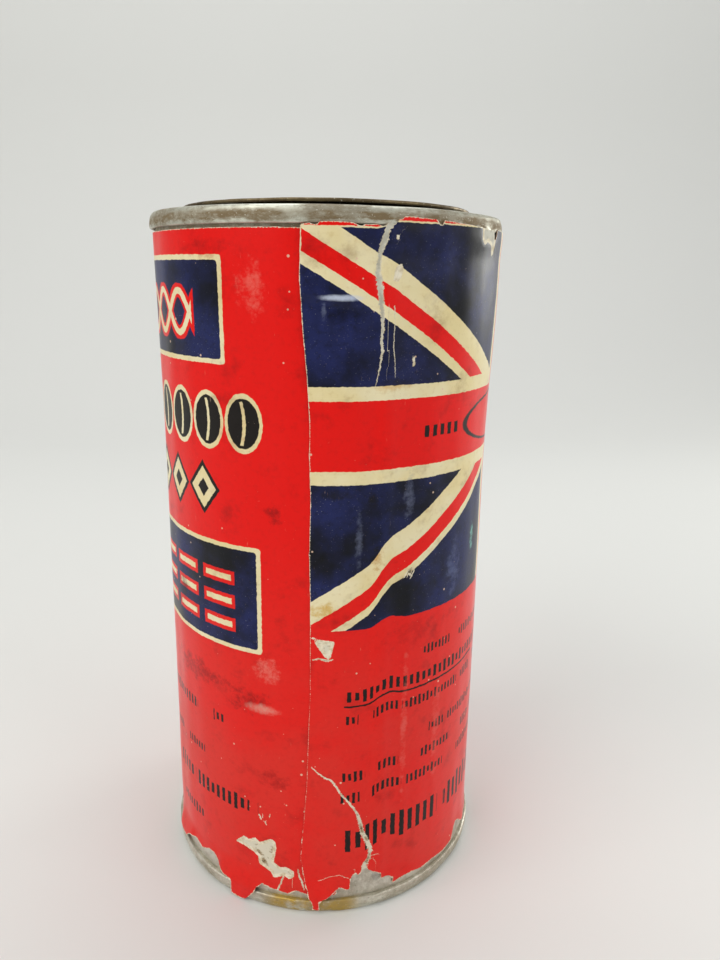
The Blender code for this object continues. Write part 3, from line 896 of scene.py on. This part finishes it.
def buildCan():
    shape = canShape
    plate, panel = shape["plate"], shape["seamTop"] - shape["sunk"]
    inner, crown = shape["mouth"] + plate / 2, shape["mouthTop"] - plate / 2
    ring = seamEdge() + [(inner + 1.95, panel, 0.7), (inner + 1.25, crown, 0.6), (inner, crown, 0.6),
                         (inner, shape["mouthTop"] - shape["mouthDepth"], 0)]
    ring = turnPiece("seamed_ring", plateOutline(bent(ring), plate), True, topRingShape)
    beads = [(outer - inward, panel - depth, 0.3) for outer in shape["baseBeads"]
             for inward, depth in ((0, 0), (0.8, 0.7), (3.2, 0.7), (4, 0))]
    path = bent(upsideDown(seamEdge() + beads + [(0, panel, 0)]))
    base = turnPiece("seamed_base", meetAxis(plateOutline(path, plate)), False, bottomEndShape)
    top = shape["seamTop"] - 0.95
    flange, wall = shape["bodyFlange"], shape["bodyWall"]
    upper = bent([(flange, top - 1.6, 0), (flange, top, 0.2), (wall, top, 0.2), (wall, 148.7, 0)])[:-1]
    middle = [(wall, z) for z in np.linspace(148.6, 1.5, 60)]
    lower = [(r, shape["seamTop"] - z) for r, z in upper[::-1]]
    path = upper + middle + lower
    body = turnPiece("rolled_body", plateOutline(path, plate), True, bodyShape)
    plug = shape["mouth"] - shape["lidGap"] - plate / 2
    edge, lidPanel = shape["lidEdge"] - plate / 2, shape["lidTop"] - shape["lidDepth"] + plate / 2
    flange, lidTop = shape["mouthTop"] + shape["lidGap"] + plate / 2, shape["lidTop"] - plate / 2
    path = bent([(edge - 0.45, flange + 0.05, 0), (edge, flange + 0.05, 0.14), (edge, lidTop, 0.22),
                 (edge - 1.2, lidTop - 0.06, 0.3), (plug, flange, 0.6), (plug, lidPanel, 0.6),
                 (plug - 3.2, lidPanel, 0.35), (plug - 4.1, lidPanel + 0.8, 0.35),
                 (15.5, lidPanel + 0.8, 0.3), (14.9, lidPanel + 0.45, 0.3),
                 (13.8, lidPanel + 0.45, 0.3), (13.2, lidPanel + 0.8, 0.3), (0, lidPanel + 0.8, 0)])
    lid = turnPiece("press_lid", meetAxis(plateOutline(path, plate)), False, lidShape)
    return ring, base, body, lid


def buildSolder():
    # A smooth run of solder over the body's lap, with drips: a strip bulged in the middle.
    low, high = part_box("side_seam_solder")
    z = np.linspace(low[2] / mm, high[2] / mm, 240)
    across = np.linspace(-1, 1, 9)
    zz, tt = np.meshgrid(z, across, indexing="ij")
    place, half = canShape["solder"]
    x = place + tt * (half + 0.12 * ripples(zz, zz * 0, 6, (5, 15), 1, 61))
    bulge = (1 - tt ** 2) * (0.24 + 0.05 * ripples(zz * 3, tt, 8, (6, 20), 1, 62))
    angle = x / labelSheet["radius"]
    wall = canShape["bodyWall"]
    verts = np.concatenate([
        np.stack([radius * np.sin(angle), -radius * np.cos(angle), zz], 2).reshape(-1, 3) * mm
        for radius in (wall + bulge, wall - 0.02)])
    index = np.arange(zz.size).reshape(zz.shape)
    a, b, c, d = index[:-1, :-1], index[:-1, 1:], index[1:, 1:], index[1:, :-1]
    sides = np.stack([[a, b, c, d], np.array([a, d, c, b]) + zz.size])
    faces = np.moveaxis(sides, (2, 3), (0, 1)).reshape(-1, 4).tolist()
    rim = [*index[0], *index[1:, -1], *index[-1, -2::-1], *index[-2:0:-1, 0]]
    faces += [[b, a, zz.size + a, zz.size + b] for a, b in zip(rim, rim[1:] + rim[:1])]
    mesh = bpy.data.meshes.new("solder_run")
    mesh.from_pydata(verts.tolist(), [], faces)
    mesh.shade_smooth()
    mesh.set_sharp_from_angle(angle=math.radians(50))
    return linkObject("solder_run", mesh)


def tinplate(name, bright, dull, rust, dirt, drawn=1.0, heights=(), goldHighlight=None):
    # Hot-dipped tinplate gone dull: a soft grey spangle, brown grime in every hollow and pinhead rust.
    # drawn above 1 flattens the pattern into streaks round the can. heights holds where a band of
    # grime starts and is full, how strong it is and, if its foot is rubbed clean, the foot's height.
    # The last argument holds a painted gold highlight's colour, its middle and its reach.
    made, add, shader = newMaterial(name, Metallic=1.0)
    here = add("VectorMath", add("TexCoord", out=3), Scale=1 / mm, operation="SCALE")
    streak = add("Mapping", here, Scale=(1 / drawn, 1 / drawn, drawn))
    x, y, z = add("SeparateXYZ", here).node.outputs
    cloud = add("TexNoise", Vector=here, Scale=0.09, Detail=4.0, Roughness=0.6)
    mottle = add("TexNoise", Vector=streak, Scale=0.5, Detail=5.0, Roughness=0.65)
    speck = add("TexNoise", Vector=streak, Scale=1.9, Detail=3.0, Roughness=0.7)
    tone = add("MULTIPLY_ADD", mottle, 0.7, add("MULTIPLY", cloud, 0.6))
    shown = tinted(add, tone, (0.5, 0.8), bright, dull)
    if goldHighlight:
        # a painted gold highlight on the side that faces the camera
        colour, centre, reach = goldHighlight
        yellow = add("TexNoise", Vector=here, Scale=0.2, Detail=3.0, Roughness=0.6)
        yellow = add("MapRange", yellow, 0.3, 0.5, 0.0, 0.95, **soft)
        behind = add("MapRange", y, -30.0, -20.0, 0.0, reach, **soft)
        away = add("ADD", offFrom(add, x, centre), behind)
        yellow = add("MULTIPLY", yellow, add("MapRange", away, reach, reach * 0.6, **soft))
        shown = add("MixRGB", yellow, shown, colour)
    grime = add("MULTIPLY_ADD", speck, 0.5, cloud)
    grime = add("MapRange", grime, 0.62, 0.95, 0.0, dirt, **soft)
    for low, high, amount, *foot in heights:
        wander = add("MULTIPLY_ADD", add("SUBTRACT", mottle, 0.5), 2.4, z)
        band = add("MapRange", wander, low, high, 0.0, amount, **soft)
        if foot:
            rubbed = add("MapRange", wander, foot[0], foot[0] + 0.6, 0.3, 1.0, **soft)
            band = add("MULTIPLY", band, rubbed)
        patchy = add("TexNoise", Vector=streak, Scale=0.34, Detail=5.0, Roughness=0.7)
        patchy = add("MapRange", patchy, 0.36, 0.6, 0.5, 1.0, **soft)
        grime = add("MAXIMUM", grime, add("MULTIPLY", band, patchy))
    shown = add("MixRGB", grime, shown, rust)
    pits = add("MapRange", speck, 0.66, 0.74, 0.0, 0.7, **soft)
    shown = add("MixRGB", pits, shown, "#3B2A1C")
    # dried splashes and worn-through grime catch the light as small pale specks
    flecks = add("TexNoise", Vector=here, Scale=2.6, Detail=2.0, Roughness=0.6)
    flecks = add("MapRange", flecks, 0.65, 0.72, 0.0, 0.6, **soft)
    shown = add("MixRGB", flecks, shown, "#E9E8DC")
    covered = add("MAXIMUM", add("MAXIMUM", grime, pits), flecks)
    metallic = add("MULTIPLY_ADD", covered, -0.75, 1.0, use_clamp=True)
    gloss = add("MapRange", tone, 0.4, 0.9, 0.32, 0.5, **soft)
    gloss = add("MULTIPLY_ADD", covered, 0.35, gloss, use_clamp=True)
    height = add("MULTIPLY_ADD", mottle, 2.0, speck)
    normal = add("Bump", Height=height, Strength=0.4, Distance=0.09 * mm)
    feed(shader, {"Base Color": shown, "Metallic": metallic, "Roughness": gloss, "Normal": normal})
    return made


ring, base, body, lid = buildCan()
solder = buildSolder()
tinPieces = [
    (ring, "top_ring", "can", "tinplate_ring", {
        "name": "tinplate_seam", "bright": "#DDE0D3", "dull": "#B4B2A4", "rust": "#7A6748",
        "dirt": 0.6, "drawn": 1.5, "heights": [(149.9, 148.6, 0.97, 147.1)]}),
    (base, "bottom_end", "can", "tinplate_base", {
        "name": "tinplate_base", "bright": "#E2DFD2", "dull": "#BDB8A8", "rust": "#8F8064",
        # the base's gold tint is a painted highlight on the side that faces the camera
        "dirt": 0.45, "drawn": 1.3, "heights": [(2.6, 3.6, 0.35)], "goldHighlight": ("#C6A545", -3.0, 12.0)}),
    (body, "body_shell", "can", "tinplate_body", {
        "name": "tinplate_body", "bright": "#E6E4D9", "dull": "#BFBBAE", "rust": "#9A8D74",
        "dirt": 0.4, "heights": [(7, 3.5, 0.25), (144.2, 146.0, 1.0)]}),
    (lid, "lever_lid", "lid", "tinplate_lid", {
        "name": "tinplate_lid", "bright": "#857659", "dull": "#665840", "rust": "#3E2F1C",
        "dirt": 0.6, "heights": [(151.0, 151.6, 0.3)]}),
    (solder, "side_seam_solder", "can", "solder", {
        "name": "soft_solder", "bright": "#CFCDC2", "dull": "#AFACA2", "rust": "#857C6A", "dirt": 0.3}),
]
for piece, node, rides, slot, look in tinPieces:
    piece.data.materials.append(tinplate(**look))
    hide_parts(node)
    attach(piece, rides)


def compoundMaterial():
    # Lining compound: water-based rubber flowed into the seam, matt and grey-green.
    made, add, shader = newMaterial("rubber_lining_compound", Roughness=0.8)
    here = add("VectorMath", add("TexCoord", out=3), Scale=1 / mm, operation="SCALE")
    tone = add("TexNoise", Vector=here, Scale=1.2, Detail=3.0, Roughness=0.6)
    feed(shader, {"Base Color": add("MixRGB", tone, "#6F746B", "#8A8E83")})
    return made


compound = compoundMaterial()
for node in ("top_seam_compound", "bottom_seam_compound"):
    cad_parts[node].data.materials[0] = compound
print("can done")


# The camera's place in millimetres, its angles in degrees and its lens.
view = {
    "from": (0.0, -175.47, 138.24), "turn": 2.662, "down": 15.214, "roll": -0.967, "lens": 28.23,
}


def addCamera():
    turn, down, roll = (math.radians(view[k]) for k in ("turn", "down", "roll"))
    level = math.cos(down)
    forward = Vector((math.sin(turn) * level, math.cos(turn) * level, -math.sin(down)))
    right = Vector((math.cos(turn), -math.sin(turn), 0))
    below = forward.cross(right)
    tiltedRight = math.cos(roll) * right + math.sin(roll) * below
    tiltedBelow = -math.sin(roll) * right + math.cos(roll) * below
    camera = linkObject("camera", bpy.data.cameras.new("camera"))
    camera.data.lens = view["lens"]
    camera.data.clip_start = 0.01
    axes = Matrix((tiltedRight, -tiltedBelow, -forward)).transposed().to_4x4()
    camera.matrix_world = Matrix.Translation(Vector(view["from"]) * mm) @ axes
    bpy.context.scene.camera = camera


def addFloor():
    # A pale sheet of card that curves up behind the tin, in metres.
    near, bendFrom, bend, top, half = -1.4, 0.45, 0.35, 1.6, 2.0
    profile = [(near, 0)] + [(bendFrom + bend * math.sin(t), bend - bend * math.cos(t))
                             for t in np.linspace(0, math.pi / 2, 24)] + [(bendFrom + bend, top)]
    verts = [(x, y, z) for x in (-half, half) for y, z in profile]
    count = len(profile)
    faces = [(i, i + count, i + count + 1, i + 1) for i in range(count - 1)]
    mesh = bpy.data.meshes.new("floor")
    mesh.from_pydata(verts, [], faces)
    mesh.shade_smooth()
    mesh.materials.append(newMaterial("pale_card", Roughness=0.9, Base_Color="#DDDEDC")[0])
    linkObject("floor", mesh)


room = {"Color": "#F1F1EE", "Strength": 0.42}
lampAim = Vector((0, 0, 0.08))
lamps = [
    {"name": "window", "at": (-0.75, -0.55, 0.75), "size": 0.9, "watts": 6.8, "colour": "#FFFDF8"},
    {"name": "fill", "at": (0.9, -0.6, 0.5), "size": 0.8, "watts": 3.3, "colour": "#FAFAFA"},
    {"name": "edge", "at": (0.83, 0.48, 0.26), "size": 0.4, "watts": 0.62, "colour": "#FBFBF6",
     "spread": 75},
    {"name": "overhead", "at": (0.0, 0.25, 1.1), "size": 0.9, "watts": 4.6, "colour": "#FFFFFF"},
]


def addLights():
    for lamp in lamps:
        data = bpy.data.lights.new(lamp["name"], "AREA")
        data.size = lamp["size"]
        data.spread = math.radians(lamp.get("spread", 180))
        data.energy = lamp["watts"]
        data.color = linear(lamp["colour"])[:3]
        made = linkObject(lamp["name"], data)
        made.location = lamp["at"]
        made.rotation_euler = (lampAim - made.location).to_track_quat("-Z", "Y").to_euler()
    world = bpy.data.worlds.new("room")
    world.use_nodes = True
    feed(world.node_tree.nodes["Background"], room)
    bpy.context.scene.world = world
    bpy.context.scene.view_settings.view_transform = "Standard"


addCamera()
addFloor()
addLights()
print("camera, floor and lights done")
